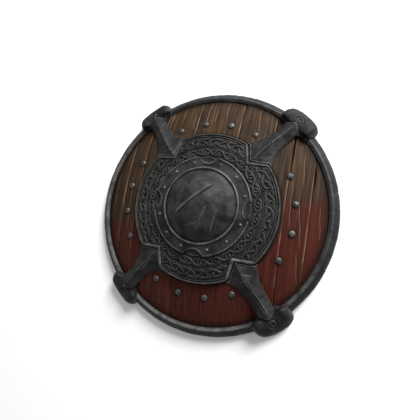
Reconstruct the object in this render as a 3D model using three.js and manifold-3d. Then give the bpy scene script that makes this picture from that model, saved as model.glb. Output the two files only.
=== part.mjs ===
// Round wooden shield with iron fittings, lying face up on the ground.
// Millimetres. +Z is up, +Y runs along the boards, the origin is on the ground under the middle.
//
// The board is a shallow dome of edge-joined planks. An iron channel grips its edge, a pan-shaped
// iron plate and a hollow boss cover the hand hole, four ridged arms run out from the plate's
// notches, and their noses lap over four clamps that are folded round the rim.

import * as THREE from "three";
import { mergeVertices } from "three/addons/utils/BufferGeometryUtils.js";
import Module from "manifold-3d";

const wasm = await Module();
wasm.setup();

// ---------------------------------------------------------------- driving dimensions

const SHIELD_RADIUS = 305; // outermost circle of the rim
const DOME_RISE = 68.6; // middle of the board's face above the rim's outermost circle
const RIM_PLANE = 14; // height of that circle above the ground
const SLIVER = 0.08; // cuts leave vertices that can go without moving a face further than this
const GAP = 0.4; // air between pieces that touch
const FACETED_GAP = 1.5; // the same under the board, whose faceted back hangs below a true dome
const FACETS = 40; // sides to a full circle

const BOARD_THICKNESS = 10;
const BOARD_RADIUS = 289;
const HAND_HOLE_RADIUS = 66;
const BOARD_RINGS = [148, 224]; // radii where the faceted dome changes slope
const BOARD_SEAMS = [-230, -183, -133, -55, 56, 139, 185, 239]; // joints between the sawn boards
const SEAM_WIDTH = 0.6;

const PLATE_RADIUS = 178;
const PLATE_HOLE_RADIUS = 80;
const PLATE_TOP = 9; // sheet's upper face above the wood
const PLATE_SHEET = 3;
const PLATE_WALL = 4; // turned-down edge
const PLATE_BEAD_TOP = 12;
const PLATE_BEAD_WIDTH = 9;
const NOTCH_DEPTH_RADIUS = 147; // distance of the notch's corner from the middle
const NOTCH_HALF_ANGLE = THREE.MathUtils.degToRad(51);
const NOTCH_ROUNDING = 12;

const FLANGE_RADIUS = 117;
const FLANGE_TOP = 12.6; // above the wood
const FLANGE_LIP = 1.6;
const FLANGE_LIP_WIDTH = 3.5;
const BITE_RADIUS = 27;
const BITE_DISTANCE = 128;
const BOSS_RADIUS = 84;
const BOSS_RISE = 36;
const BOSS_WALL = 2.5;
const BOSS_BEAD_WIDTH = 7;
const BOSS_BEAD_RISE = 4;
const PLATE_FACETS = 32; // sides of the plate and the boss

const ARM_ANGLE = THREE.MathUtils.degToRad(50.5); // each arm's turn from the X axis
const ARM_ROOT = 152; // root corner's distance from the middle
const ARM_ROOT_CLEARANCE = 4; // between the plate's round edge and the flared root
const ARM_ROOT_HALF_WIDTH = 42;
const ARM_HALF_WIDTH = 20.5;
const ARM_NOSE = 290;
const ARM_NOSE_TAPER = 12;
const ARM_NOSE_NARROWING = 2;
const ARM_EDGE = 4; // thickness along the sides
const ARM_ROOT_HEIGHT = 8;
const ARM_RIDGE_SWELL = 10; // how much the ridge rises between root and nose
const ARM_NOSE_SEAT = 25; // underside of the nose above the rim plane, where it laps the clamp
const ARM_STUD = { distance: 229, head: 4, rise: 4 }; // fixes the arm from behind

const CLAMP_HALF_WIDTH = 49;
const CLAMP_WALL = 6;
const CLAMP_BULGE = 15; // extra thickness outside the rim, in the middle of the clamp
const CLAMP_LOBE = 7; // swelling near both ends, on top
const CLAMP_RIVET_DISTANCE = 302;
const CLAMP_RIVET_HEIGHT = 19.5; // above the rim plane
const CLAMP_RIVET_TILT = THREE.MathUtils.degToRad(22);
const CLAMP_RIVET_RADIUS = 8; // outside of its raised ring
const CLAMP_RIVET_SHANK = 3.5;
const CLAMP_RIVET_LENGTH = 18;

const BATTEN_HALF_LENGTH = 262;
const BATTEN_HALF_WIDTH = 17;
const BATTEN_THICKNESS = 14;
const BATTEN_END_THICKNESS = 9;
const BATTEN_ROUNDING = 5;
const BATTEN_RIVET_PLACES = [-160, -95, 95, 160];

const BOARD_RIVET_CIRCLE = 210;
const BOARD_RIVET_ANGLES = [-27, -9, 9, 27]; // degrees from each axis
const BOSS_RIVET_CIRCLE = 103;
const BOSS_RIVET_ANGLES = [-27, 0, 27]; // degrees from each diagonal

// A rivet: head radius and height, shank radius, the length gripped, washer radius.
const BOARD_RIVET = { head: 7.5, rise: 4.2, shank: 3, grip: BOARD_THICKNESS + FACETED_GAP, washer: 8 };
const BOSS_RIVET = { head: 3.8, rise: 2.4, shank: 2, grip: 24, washer: 6 };
const BATTEN_RIVET = { head: 6, rise: 3, shank: 2.5, grip: 25, washer: 7 };
const RIVET_SIDES = 6;

// ---------------------------------------------------------------- materials

const wood = new THREE.MeshStandardMaterial({ color: 0x5e4128, roughness: 0.75, metalness: 0 });
const gripWood = new THREE.MeshStandardMaterial({ color: 0x6b4f33, roughness: 0.65, metalness: 0 });
const darkIron = new THREE.MeshStandardMaterial({ color: 0x3a3a3c, roughness: 0.5, metalness: 0.9 });
const wornIron = new THREE.MeshStandardMaterial({ color: 0x6d6e70, roughness: 0.42, metalness: 0.9 });

// ---------------------------------------------------------------- helpers

const shield = new THREE.Group();

function addPiece(name, geometry, material) {
  const mesh = new THREE.Mesh(geometry, material);
  mesh.name = name;
  shield.add(mesh);
  return mesh;
}

// Height of the board's face above the ground, at a distance from the middle.
function faceHeight(radius) {
  return RIM_PLANE + DOME_RISE * (1 - (radius / SHIELD_RADIUS) ** 2);
}

// Turns a closed three.js geometry into a solid that can be cut and joined.
function toSolid(geometry) {
  const bare = geometry.clone();
  bare.deleteAttribute("normal");
  bare.deleteAttribute("uv");
  const merged = mergeVertices(bare);
  const corners = merged.getIndex().array;
  const kept = [];
  for (let i = 0; i < corners.length; i += 3) {
    const [a, b, c] = [corners[i], corners[i + 1], corners[i + 2]];
    if (a !== b && b !== c && c !== a) kept.push(a, b, c);
  }
  const mesh = new wasm.Mesh({
    numProp: 3,
    vertProperties: new Float32Array(merged.getAttribute("position").array),
    triVerts: new Uint32Array(kept),
  });
  return new wasm.Manifold(mesh);
}

function toGeometry(solid) {
  const mesh = solid.simplify(SLIVER).getMesh();
  const geometry = new THREE.BufferGeometry();
  geometry.setAttribute("position", new THREE.BufferAttribute(mesh.vertProperties, 3));
  geometry.setIndex(new THREE.BufferAttribute(mesh.triVerts, 1));
  geometry.computeVertexNormals();
  return geometry;
}

// Turns a profile of [radius, height] points about the Z axis.
function revolve(profile, sides = FACETS, closed = true) {
  const points = profile.map(([radius, height]) => new THREE.Vector2(radius, height));
  if (THREE.ShapeUtils.area(points) < 0) points.reverse();
  if (closed) points.push(points[0].clone());
  return new THREE.LatheGeometry(points, sides).rotateX(Math.PI / 2);
}

// A ring that follows the dome, between two heights above the wood.
function domeRing(innerRadius, outerRadius, lower, upper, sides = FACETS) {
  const between = BOARD_RINGS.filter((radius) => radius > innerRadius && radius < outerRadius);
  const radii = [innerRadius, ...between, outerRadius];
  const top = radii.map((radius) => [radius, faceHeight(radius) + upper]);
  const bottom = radii.map((radius) => [radius, faceHeight(radius) + lower]);
  return toSolid(revolve([...top, ...bottom.reverse()], sides));
}

// Maps a unit box's three directions to a bent shape: along 0..1, across -1..1, up 0..1.
function bendBox(alongSteps, acrossSteps, upSteps, place) {
  const box = new THREE.BoxGeometry(1, 2, 1, alongSteps, acrossSteps, upSteps);
  const position = box.getAttribute("position");
  for (let i = 0; i < position.count; i += 1) {
    const point = place(position.getX(i) + 0.5, position.getY(i), position.getZ(i) + 0.5);
    position.setXYZ(i, point.x, point.y, point.z);
  }
  return box;
}

// Stands local +Z on the dome's surface at a radius and a bearing.
function onDome(radius, bearing, lift = 0) {
  const slope = Math.atan((2 * DOME_RISE * radius) / SHIELD_RADIUS ** 2);
  const turn = new THREE.Matrix4().makeRotationFromEuler(new THREE.Euler(0, slope, bearing, "ZYX"));
  const height = faceHeight(radius) + lift;
  const seat = new THREE.Vector3(radius * Math.cos(bearing), radius * Math.sin(bearing), height);
  return turn.setPosition(seat);
}

// A clenched rivet: domed head on top, shank, and a washer hammered on behind.
function rivetGeometry({ head, rise, shank, grip, washer }) {
  const back = -grip - GAP;
  const peen = 3.4;
  const profile = [
    [0, rise + GAP],
    [head * 0.7, rise * 0.7 + GAP],
    [head, GAP],
    [shank, GAP],
    [shank, back],
    [washer, back],
    [0, back - peen],
  ];
  return revolve(profile, RIVET_SIDES, false);
}

// The square-punched hole that a rivet's shank passes through, in the rivet's own frame.
function shankCutter({ shank, grip }, matrix) {
  const width = 2 * (shank + GAP);
  const cutter = new THREE.BoxGeometry(width, width, 2 * grip + 30);
  return toSolid(cutter.applyMatrix4(matrix));
}

// ---------------------------------------------------------------- fastener places

const boardRivets = [];
const bossRivets = [];
for (const quarter of [0, 1, 2, 3]) {
  for (const offset of BOARD_RIVET_ANGLES) {
    const bearing = THREE.MathUtils.degToRad(90 * quarter + offset);
    boardRivets.push(onDome(BOARD_RIVET_CIRCLE, bearing));
  }
  for (const offset of BOSS_RIVET_ANGLES) {
    const bearing = THREE.MathUtils.degToRad(90 * quarter + 45 + offset);
    bossRivets.push(onDome(BOSS_RIVET_CIRCLE, bearing, FLANGE_TOP));
  }
}
const battenRivets = BATTEN_RIVET_PLACES.map((x) => onDome(Math.abs(x), x > 0 ? 0 : Math.PI));
const arms = [
  ["upper_right", ARM_ANGLE],
  ["upper_left", Math.PI - ARM_ANGLE],
  ["lower_left", Math.PI + ARM_ANGLE],
  ["lower_right", -ARM_ANGLE],
];
const studs = arms.map(([, bearing]) => onDome(ARM_STUD.distance, bearing));

// ---------------------------------------------------------------- boards

// The whole domed board is shaped once, drilled, then sawn along its seams.
function drilledBoard() {
  let board = domeRing(HAND_HOLE_RADIUS, BOARD_RADIUS, -BOARD_THICKNESS, 0);
  const cutters = [
    ...boardRivets.map((matrix) => shankCutter(BOARD_RIVET, matrix)),
    ...bossRivets.map((matrix) => shankCutter(BOSS_RIVET, matrix)),
    ...battenRivets.map((matrix) => shankCutter(BATTEN_RIVET, matrix)),
    ...studs.map((matrix) => shankCutter(BOARD_RIVET, matrix)),
  ];
  for (const cutter of cutters) board = board.subtract(cutter);
  return board;
}

function sawBoard(board, left, right, low, high) {
  const width = right - left - SEAM_WIDTH;
  const saw = new THREE.BoxGeometry(width, high - low, 4 * DOME_RISE);
  saw.translate((left + right) / 2, (low + high) / 2, 0);
  return toGeometry(board.intersect(toSolid(saw)));
}

function addBoards() {
  const board = drilledBoard();
  const reach = SHIELD_RADIUS;
  const edges = [-reach, ...BOARD_SEAMS, reach];
  for (let i = 0; i + 1 < edges.length; i += 1) {
    const [left, right] = [edges[i], edges[i + 1]];
    const isCutByHandHole = left > -HAND_HOLE_RADIUS && right < HAND_HOLE_RADIUS;
    if (isCutByHandHole) {
      addPiece(`board_${i + 1}_upper`, sawBoard(board, left, right, 0, reach), wood);
      addPiece(`board_${i + 1}_lower`, sawBoard(board, left, right, -reach, 0), wood);
    } else {
      addPiece(`board_${i + 1}`, sawBoard(board, left, right, -reach, reach), wood);
    }
  }
}

// ---------------------------------------------------------------- rim

// The rim's outer surface, from its foot on the wood, over the crest and round to its back lip.
// Each station has the outward direction in which a clamp thickens.
const RIM_STATIONS = [
  { radius: 281, height: 12.8, out: [0, 1] },
  { radius: 288, height: 16, out: [0, 1] },
  { radius: 300, height: 7.4, out: [0.6, 0.8] },
  { radius: 305, height: 0, out: [1, 0] },
  { radius: 303, height: -6, out: [0.9, -0.4] },
  { radius: 294, height: -9, out: [0, -1] },
  { radius: 281, height: -5, out: [0, -1] },
];

function clampRivetMatrix(bearing) {
  const turn = new THREE.Matrix4().makeRotationFromEuler(
    new THREE.Euler(0, CLAMP_RIVET_TILT, bearing, "ZYX"),
  );
  const height = RIM_PLANE + CLAMP_RIVET_HEIGHT;
  const x = CLAMP_RIVET_DISTANCE * Math.cos(bearing);
  const y = CLAMP_RIVET_DISTANCE * Math.sin(bearing);
  return turn.setPosition(x, y, height);
}

function clampRivetHole(bearing) {
  const width = 2 * (CLAMP_RIVET_SHANK + GAP);
  const hole = new THREE.BoxGeometry(width, width, 2 * CLAMP_RIVET_LENGTH);
  return toSolid(hole.applyMatrix4(clampRivetMatrix(bearing)));
}

const RIM_INNER_RADIUS = RIM_STATIONS[0].radius;

function addRim() {
  const outside = RIM_STATIONS.map(({ radius, height }) => [radius, RIM_PLANE + height]);
  const inside = [
    [RIM_INNER_RADIUS, RIM_PLANE - 2.5],
    [298, RIM_PLANE - 5],
    [299, RIM_PLANE + 3],
    [BOARD_RADIUS + 1, faceHeight(BOARD_RADIUS) + GAP],
    [RIM_INNER_RADIUS, faceHeight(RIM_INNER_RADIUS) + GAP],
  ];
  let rim = toSolid(revolve([...outside, ...inside]));
  for (const [, bearing] of arms) rim = rim.subtract(clampRivetHole(bearing));
  addPiece("rim", toGeometry(rim), darkIron);
}

// ---------------------------------------------------------------- central plate

// The plate's outline: a circle with four V notches, one for each arm, drawn in by an inset.
function plateOutline(inset) {
  const radius = PLATE_RADIUS - inset;
  const corner = NOTCH_DEPTH_RADIUS - inset / Math.sin(NOTCH_HALF_ANGLE);
  const along = corner * Math.cos(NOTCH_HALF_ANGLE);
  const side = -along + Math.sqrt(along ** 2 - corner ** 2 + radius ** 2);
  const tip = new THREE.Vector2(
    corner + side * Math.cos(NOTCH_HALF_ANGLE),
    side * Math.sin(NOTCH_HALF_ANGLE),
  );
  const halfMouth = tip.angle() + (NOTCH_ROUNDING - inset / 2) / radius;
  const rounding = 1 - NOTCH_ROUNDING / side;
  const outline = new THREE.Shape();
  const middle = new THREE.Vector2();
  const place = (x, y, bearing) => new THREE.Vector2(x, y).rotateAround(middle, bearing);
  const bearings = arms.map(([, bearing]) => bearing).sort((a, b) => a - b);
  bearings.forEach((bearing, i) => {
    const start = place(corner + (tip.x - corner) * rounding, -tip.y * rounding, bearing);
    const back = place(tip.x, -tip.y, bearing);
    const inner = place(corner, 0, bearing);
    const out = place(corner + (tip.x - corner) * rounding, tip.y * rounding, bearing);
    const over = place(tip.x, tip.y, bearing);
    const land = bearing + halfMouth;
    const next = bearings[(i + 1) % bearings.length] + (i + 1 === bearings.length ? 2 * Math.PI : 0);
    if (i === 0) {
      const from = bearing - halfMouth;
      outline.moveTo(radius * Math.cos(from), radius * Math.sin(from));
    }
    outline.quadraticCurveTo(back.x, back.y, start.x, start.y);
    outline.lineTo(inner.x, inner.y);
    outline.lineTo(out.x, out.y);
    outline.quadraticCurveTo(over.x, over.y, radius * Math.cos(land), radius * Math.sin(land));
    outline.absarc(0, 0, radius, land, next - halfMouth, false);
  });
  return outline;
}

function outlinePrism(inset) {
  const prism = new THREE.ExtrudeGeometry(plateOutline(inset), {
    depth: 4 * DOME_RISE,
    bevelEnabled: false,
    curveSegments: 3,
  });
  return toSolid(prism);
}

function addPlate() {
  const spill = PLATE_RADIUS + 2;
  const ring = (inner, lower, upper) => domeRing(inner, spill, lower, upper, PLATE_FACETS);
  const body = outlinePrism(0).intersect(ring(PLATE_HOLE_RADIUS, 1.5 * GAP, PLATE_BEAD_TOP));
  const sunkTop = ring(PLATE_HOLE_RADIUS - 5, PLATE_TOP, PLATE_BEAD_TOP + 5);
  const panInside = ring(PLATE_HOLE_RADIUS - 5, -5, PLATE_TOP - PLATE_SHEET);
  let plate = body
    .subtract(outlinePrism(PLATE_BEAD_WIDTH).intersect(sunkTop))
    .subtract(outlinePrism(PLATE_WALL).intersect(panInside));
  for (const matrix of bossRivets) plate = plate.subtract(shankCutter(BOSS_RIVET, matrix));
  addPiece("plate", toGeometry(plate), darkIron);
}

// ---------------------------------------------------------------- boss

function addBoss() {
  const base = faceHeight(BOSS_RADIUS) + FLANGE_TOP + 0.5;
  const sphereRadius = (BOSS_RADIUS ** 2 + BOSS_RISE ** 2) / (2 * BOSS_RISE);
  const centre = base + BOSS_RISE - sphereRadius;
  const outerSweep = Math.asin(BOSS_RADIUS / sphereRadius);
  const innerRadius = sphereRadius - BOSS_WALL;
  const innerSweep = Math.asin((BOSS_RADIUS - BOSS_WALL) / innerRadius);
  const arc = (radius, sweep) => [radius * Math.sin(sweep), centre + radius * Math.cos(sweep)];
  const outerSteps = [0, 0.25, 0.5, 0.75, 1];
  const innerSteps = [0.75, 0.25, 0];
  const onFlange = (radius, lift) => [radius, faceHeight(radius) + FLANGE_TOP + lift];
  const lipInside = FLANGE_RADIUS - FLANGE_LIP_WIDTH;
  const seat = (radius) => [radius, faceHeight(radius) + PLATE_TOP + GAP];
  const profile = [
    ...outerSteps.map((step) => arc(sphereRadius, step * outerSweep)),
    onFlange(BOSS_RADIUS + BOSS_BEAD_WIDTH * 0.5, BOSS_BEAD_RISE),
    onFlange(BOSS_RADIUS + BOSS_BEAD_WIDTH, 0),
    onFlange(lipInside, 0),
    onFlange(lipInside + 1, FLANGE_LIP),
    onFlange(FLANGE_RADIUS, FLANGE_LIP),
    seat(FLANGE_RADIUS),
    seat(BOSS_RADIUS - BOSS_WALL),
    ...innerSteps.map((step) => arc(innerRadius, step * innerSweep)),
  ];
  let boss = toSolid(revolve(profile, PLATE_FACETS, false));
  for (const quarter of [0, 1, 2, 3]) {
    const bearing = (quarter * Math.PI) / 2;
    const bite = new THREE.CylinderGeometry(BITE_RADIUS, BITE_RADIUS, 6 * DOME_RISE, 14);
    bite.rotateX(Math.PI / 2);
    bite.translate(BITE_DISTANCE * Math.cos(bearing), BITE_DISTANCE * Math.sin(bearing), 0);
    boss = boss.subtract(toSolid(bite));
  }
  for (const matrix of bossRivets) boss = boss.subtract(shankCutter(BOSS_RIVET, matrix));
  addPiece("boss", toGeometry(boss), darkIron);
}

// ---------------------------------------------------------------- arms

// A bar with a roof ridge. Its root is a V that fits the plate's notch and flares along the
// plate's round edge, and its nose laps the clamp.
function armPoint(along, across, up) {
  const side = Math.abs(across);
  const flare = (ARM_ROOT_HALF_WIDTH - ARM_HALF_WIDTH) * (1 - along) ** 4;
  const halfWidth = ARM_HALF_WIDTH + flare - ARM_NOSE_NARROWING * along ** 6;
  const rootSide = ARM_ROOT_HALF_WIDTH * side;
  const notchLine = ARM_ROOT + rootSide / Math.tan(NOTCH_HALF_ANGLE);
  const plateCircle = Math.sqrt((PLATE_RADIUS + ARM_ROOT_CLEARANCE) ** 2 - rootSide ** 2);
  const from = Math.min(notchLine, plateCircle);
  const to = ARM_NOSE - ARM_NOSE_TAPER * side;
  const x = THREE.MathUtils.lerp(from, to, along);
  const y = across * halfWidth;
  const onWood = faceHeight(Math.hypot(x, y)) + GAP;
  const onClamp = RIM_PLANE + ARM_NOSE_SEAT;
  const underside = Math.max(onWood, onClamp);
  const ridge = ARM_ROOT_HEIGHT + ARM_RIDGE_SWELL * Math.sin(Math.PI * along);
  const height = THREE.MathUtils.lerp(ridge, ARM_EDGE, side);
  return new THREE.Vector3(x, y, underside + up * height);
}

function addArms() {
  const bar = toSolid(bendBox(7, 6, 1, armPoint));
  const studShape = { ...BOARD_RIVET, ...ARM_STUD };
  const stud = toSolid(rivetGeometry(studShape).applyMatrix4(onDome(ARM_STUD.distance, 0)));
  const arm = toGeometry(bar.add(stud));
  for (const [name, bearing] of arms) {
    const mesh = addPiece(`arm_${name}`, arm.clone(), darkIron);
    mesh.rotation.z = bearing;
  }
}

// ---------------------------------------------------------------- clamps

// A strap folded round the rim. It starts on the wood under the arm's nose, swells into two lobes,
// bulges outwards beyond the rim and ends in a flat foot, on which the shield rests.
const CLAMP_STATIONS = [
  { radius: 271, height: 14.6, out: [0, 1], width: 0.47, bulge: 0, lobe: 0 },
  { ...RIM_STATIONS[0], radius: 280, width: 0.72, bulge: 0, lobe: 0.25 },
  { ...RIM_STATIONS[1], width: 0.98, bulge: 0, lobe: 1 },
  { ...RIM_STATIONS[2], width: 1, bulge: 0.55, lobe: 0.6 },
  { ...RIM_STATIONS[3], width: 0.97, bulge: 1, lobe: 0 },
  { ...RIM_STATIONS[4], width: 0.95, bulge: 0.75, lobe: 0 },
  { ...RIM_STATIONS[5], width: 0.92, bulge: 0, lobe: 0 },
  { ...RIM_STATIONS[6], width: 0.8, bulge: 0, lobe: 0 },
];

function clampPoint(along, across, up) {
  const count = CLAMP_STATIONS.length - 1;
  const index = Math.round(along * count);
  const station = CLAMP_STATIONS[index];
  const isFoot = index >= count - 1;
  const bearing = (across * station.width * CLAMP_HALF_WIDTH) / SHIELD_RADIUS;
  const bulge = station.bulge * CLAMP_BULGE * (1 - across ** 4);
  const lobe = station.lobe * CLAMP_LOBE * Math.sin(Math.PI * across ** 2) ** 2;
  const reach = GAP + 0.2 + up * (CLAMP_WALL + bulge + lobe);
  const radius = station.radius + station.out[0] * reach;
  const height = RIM_PLANE + station.height + station.out[1] * reach;
  const z = isFoot && up === 1 ? 0 : height;
  return new THREE.Vector3(radius * Math.cos(bearing), radius * Math.sin(bearing), z);
}

// A dished rivet with a raised ring, in the middle of the clamp.
function clampRivetGeometry() {
  const ringTop = 2.4;
  const dish = 0.8;
  const profile = [
    [0, dish],
    [CLAMP_RIVET_RADIUS - 5, dish],
    [CLAMP_RIVET_RADIUS - 3.4, ringTop],
    [CLAMP_RIVET_RADIUS - 1.6, ringTop],
    [CLAMP_RIVET_RADIUS, GAP],
    [CLAMP_RIVET_SHANK, GAP],
    [CLAMP_RIVET_SHANK, -CLAMP_RIVET_LENGTH + 1],
    [0, -CLAMP_RIVET_LENGTH + 1],
  ];
  return revolve(profile, 8, false);
}

function addClamps() {
  const strap = bendBox(CLAMP_STATIONS.length - 1, 6, 1, clampPoint);
  const pocket = clampRivetHole(0);
  const seatRadius = CLAMP_RIVET_RADIUS + GAP;
  const seatDepth = 2 * CLAMP_RIVET_RADIUS;
  const seat = new THREE.CylinderGeometry(seatRadius, seatRadius, seatDepth, 8);
  seat.rotateX(Math.PI / 2).translate(0, 0, seatDepth / 2).applyMatrix4(clampRivetMatrix(0));
  const clamp = toGeometry(toSolid(strap).subtract(pocket).subtract(toSolid(seat)));
  const rivet = clampRivetGeometry();
  arms.forEach(([name, bearing]) => {
    const mesh = addPiece(`clamp_${name}`, clamp.clone(), darkIron);
    mesh.rotation.z = bearing;
  });
  arms.forEach(([name, bearing]) => {
    addPiece(`clamp_rivet_${name}`, rivet.clone(), wornIron).applyMatrix4(clampRivetMatrix(bearing));
  });
}

// ---------------------------------------------------------------- grip batten

// A bar across the boards, behind them. It bridges the hand hole, where it is the grip.
function battenPoint(along, across, up) {
  const x = THREE.MathUtils.lerp(-BATTEN_HALF_LENGTH, BATTEN_HALF_LENGTH, along);
  const reach = Math.abs(x) / BATTEN_HALF_LENGTH;
  const thickness = THREE.MathUtils.lerp(BATTEN_THICKNESS, BATTEN_END_THICKNESS, reach ** 2);
  const halfWidth = BATTEN_HALF_WIDTH - BATTEN_ROUNDING * (1 - up);
  const y = across * halfWidth;
  const top = faceHeight(Math.hypot(x, y)) - BOARD_THICKNESS - FACETED_GAP;
  return new THREE.Vector3(x, y, top - (1 - up) * thickness);
}

function addBatten() {
  let batten = toSolid(bendBox(10, 2, 1, battenPoint));
  for (const matrix of battenRivets) batten = batten.subtract(shankCutter(BATTEN_RIVET, matrix));
  addPiece("grip_batten", toGeometry(batten), gripWood);
}

// ---------------------------------------------------------------- rivets

function addRivets(name, shape, matrices) {
  const geometry = rivetGeometry(shape);
  matrices.forEach((matrix, i) => {
    const number = String(i + 1).padStart(2, "0");
    addPiece(`${name}_${number}`, geometry.clone(), wornIron).applyMatrix4(matrix);
  });
}

addBoards();
addRim();
addPlate();
addBoss();
addArms();
addClamps();
addBatten();
addRivets("board_rivet", BOARD_RIVET, boardRivets);
addRivets("boss_rivet", BOSS_RIVET, bossRivets);
addRivets("batten_rivet", BATTEN_RIVET, battenRivets);

export default shield;
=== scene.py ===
# %% [markdown]
# # A round wooden shield, lying face up
#
# The CAD frame already holds every piece of the shield at its real size: ten boards, the iron
# rim, the plate, the boss, four arms, four clamps, the rivets and the grip batten behind. Here each
# of them gets the surface that makes it look hand-made: split and painted wood, forged iron with
# rubbed edges, and a carved interlace. Nothing is moved or resized, because every new piece is
# bent to the same dome that the frame uses.

# %% Load the frame
import functools
import math

import bmesh
import bpy
import numpy as np
from mathutils import Euler, Matrix, Vector


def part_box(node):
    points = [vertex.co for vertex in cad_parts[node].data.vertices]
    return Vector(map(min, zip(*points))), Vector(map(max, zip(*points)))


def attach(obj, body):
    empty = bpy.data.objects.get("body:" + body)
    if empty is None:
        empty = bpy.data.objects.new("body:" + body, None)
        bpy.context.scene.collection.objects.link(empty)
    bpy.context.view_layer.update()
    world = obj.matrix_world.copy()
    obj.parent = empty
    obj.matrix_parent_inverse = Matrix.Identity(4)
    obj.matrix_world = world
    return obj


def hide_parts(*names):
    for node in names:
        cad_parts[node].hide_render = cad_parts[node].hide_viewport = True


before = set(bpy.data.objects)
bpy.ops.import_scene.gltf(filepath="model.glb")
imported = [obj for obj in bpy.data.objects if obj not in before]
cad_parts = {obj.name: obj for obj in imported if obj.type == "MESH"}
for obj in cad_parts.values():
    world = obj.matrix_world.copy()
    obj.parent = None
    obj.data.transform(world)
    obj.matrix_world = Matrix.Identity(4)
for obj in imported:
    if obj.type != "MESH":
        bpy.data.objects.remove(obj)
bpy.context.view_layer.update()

# %% [markdown]
# ## The sizes that everything shares
#
# The face of the board is a shallow dome. Its height depends only on the distance from the
# middle, so one short function can seat every piece on it. The radius comes from the frame. The
# other sizes are in metres, written as millimetres times MM so that they read like a maker's notes.

# %% Driving sizes
MM = 0.001
SHIELD_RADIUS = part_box("rim")[1].x
DOME_RISE = 0.225 * SHIELD_RADIUS
RIM_PLANE = 14 * MM
BOARD_THICKNESS = 10 * MM
HAND_HOLE_RADIUS = 66 * MM
BOARD_RADIUS = 289 * MM
ARM_ANGLE = math.radians(50.5)
ARM_BEARINGS = {
    "upper_right": ARM_ANGLE,
    "upper_left": math.pi - ARM_ANGLE,
    "lower_left": math.pi + ARM_ANGLE,
    "lower_right": -ARM_ANGLE,
}


def face_height(radius):
    """Height of the board's face above the ground at a distance from the middle."""
    return RIM_PLANE + DOME_RISE * (1 - (radius / SHIELD_RADIUS) ** 2)


print("dome", round(face_height(0) / MM, 1), "mm high at the middle, radius", round(SHIELD_RADIUS / MM), "mm")

# %% [markdown]
# ## Shaping tools
#
# A forged or carved piece is easiest to think of as a straight slab that is bent. A grid operator
# makes the flat sheet, an extrusion gives it thickness, and one formula then bends all its vertices.
# Round pieces start from a profile that the spin operator turns about the middle. The formulas
# work on whole numpy arrays, which keeps tens of thousands of vertices quick.

# %% Slabs, spun rings and bending
def unit_slab(along, across):
    """A sheet from -1 to 1 in x and y, and from 0 to 1 in z."""
    bm = bmesh.new()
    bmesh.ops.create_grid(bm, x_segments=along, y_segments=across, size=1)
    raised = bmesh.ops.extrude_face_region(bm, geom=list(bm.faces))["geom"]
    verts = [part for part in raised if isinstance(part, bmesh.types.BMVert)]
    bmesh.ops.translate(bm, vec=(0, 0, 1), verts=verts)
    bmesh.ops.recalc_face_normals(bm, faces=bm.faces)
    return bm


def spun_ring(profile, steps, closed=True):
    """Turns a profile of (radius, height) points about the Z axis."""
    bm = bmesh.new()
    verts = [bm.verts.new((radius, 0, height)) for radius, height in profile]
    pairs = list(zip(verts, verts[1:]))
    if closed:
        pairs.append((verts[-1], verts[0]))
    edges = [bm.edges.new(pair) for pair in pairs]
    bmesh.ops.spin(bm, geom=verts + edges, axis=(0, 0, 1), cent=(0, 0, 0),
                   angle=2 * math.pi, steps=steps, use_merge=True)
    bmesh.ops.remove_doubles(bm, verts=bm.verts, dist=0.01 * MM)
    bmesh.ops.recalc_face_normals(bm, faces=bm.faces)
    return bm


def bend(bm, place):
    """Moves every vertex at once: place takes arrays of x, y and z and gives back the new ones."""
    at = np.array([vert.co for vert in bm.verts]).T
    bent = np.stack(place(*at), axis=1)
    if not np.isfinite(bent).all():
        raise ValueError("a bending formula gave something that isn't a number")
    for vert, point in zip(bm.verts, bent):
        vert.co = point


def soften(bm, width, angle):
    """Rounds the edges that are sharper than the angle."""
    sharp = [edge for edge in bm.edges if edge.is_manifold and edge.calc_face_angle() > angle]
    bmesh.ops.bevel(bm, geom=sharp, offset=width, offset_type="OFFSET", affect="EDGES", segments=2,
                    profile=0.5, material=-1, clamp_overlap=True)


def smooth_step(low, high, value):
    """0 below low, 1 above high, and a smooth slope between. low may be the larger of the two."""
    share = np.clip((value - low) / (high - low), 0, 1)
    return share * share * (3 - 2 * share)


def ripple(x, y, wavelength, seed, waves=9):
    """An uneven surface, about -1 to 1, from a few sine waves that cross at random angles."""
    draw = np.random.default_rng(seed)
    total = np.zeros_like(x)
    for _ in range(waves):
        bearing, shift = draw.uniform(0, 2 * math.pi, 2)
        length = wavelength * draw.uniform(0.6, 1.6)
        run = x * math.cos(bearing) + y * math.sin(bearing)
        total += np.sin(2 * math.pi * run / length + shift)
    return total / math.sqrt(waves)


def groove(x, y, start, end, width):
    """1 on the line from start to end, falling to 0 at half the width beside it."""
    dx, dy = end[0] - start[0], end[1] - start[1]
    length = math.hypot(dx, dy)
    share = np.clip(((x - start[0]) * dx + (y - start[1]) * dy) / length ** 2, 0, 1)
    away = np.hypot(x - start[0] - share * dx, y - start[1] - share * dy)
    taper = np.clip(6 * share, 0, 1) * np.clip(6 * (1 - share), 0, 1)
    return np.clip(1 - 2 * away / width, 0, 1) * taper


def cut_depth(x, y, cuts):
    """How deep some cuts go at each point. A cut is its start, end, width and depth, in mm."""
    depth = np.zeros_like(x)
    for start, end, width, deepest in cuts:
        ends = [(px * MM, py * MM) for px, py in (start, end)]
        depth = np.maximum(depth, deepest * MM * groove(x, y, *ends, width * MM))
    return depth
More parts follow.
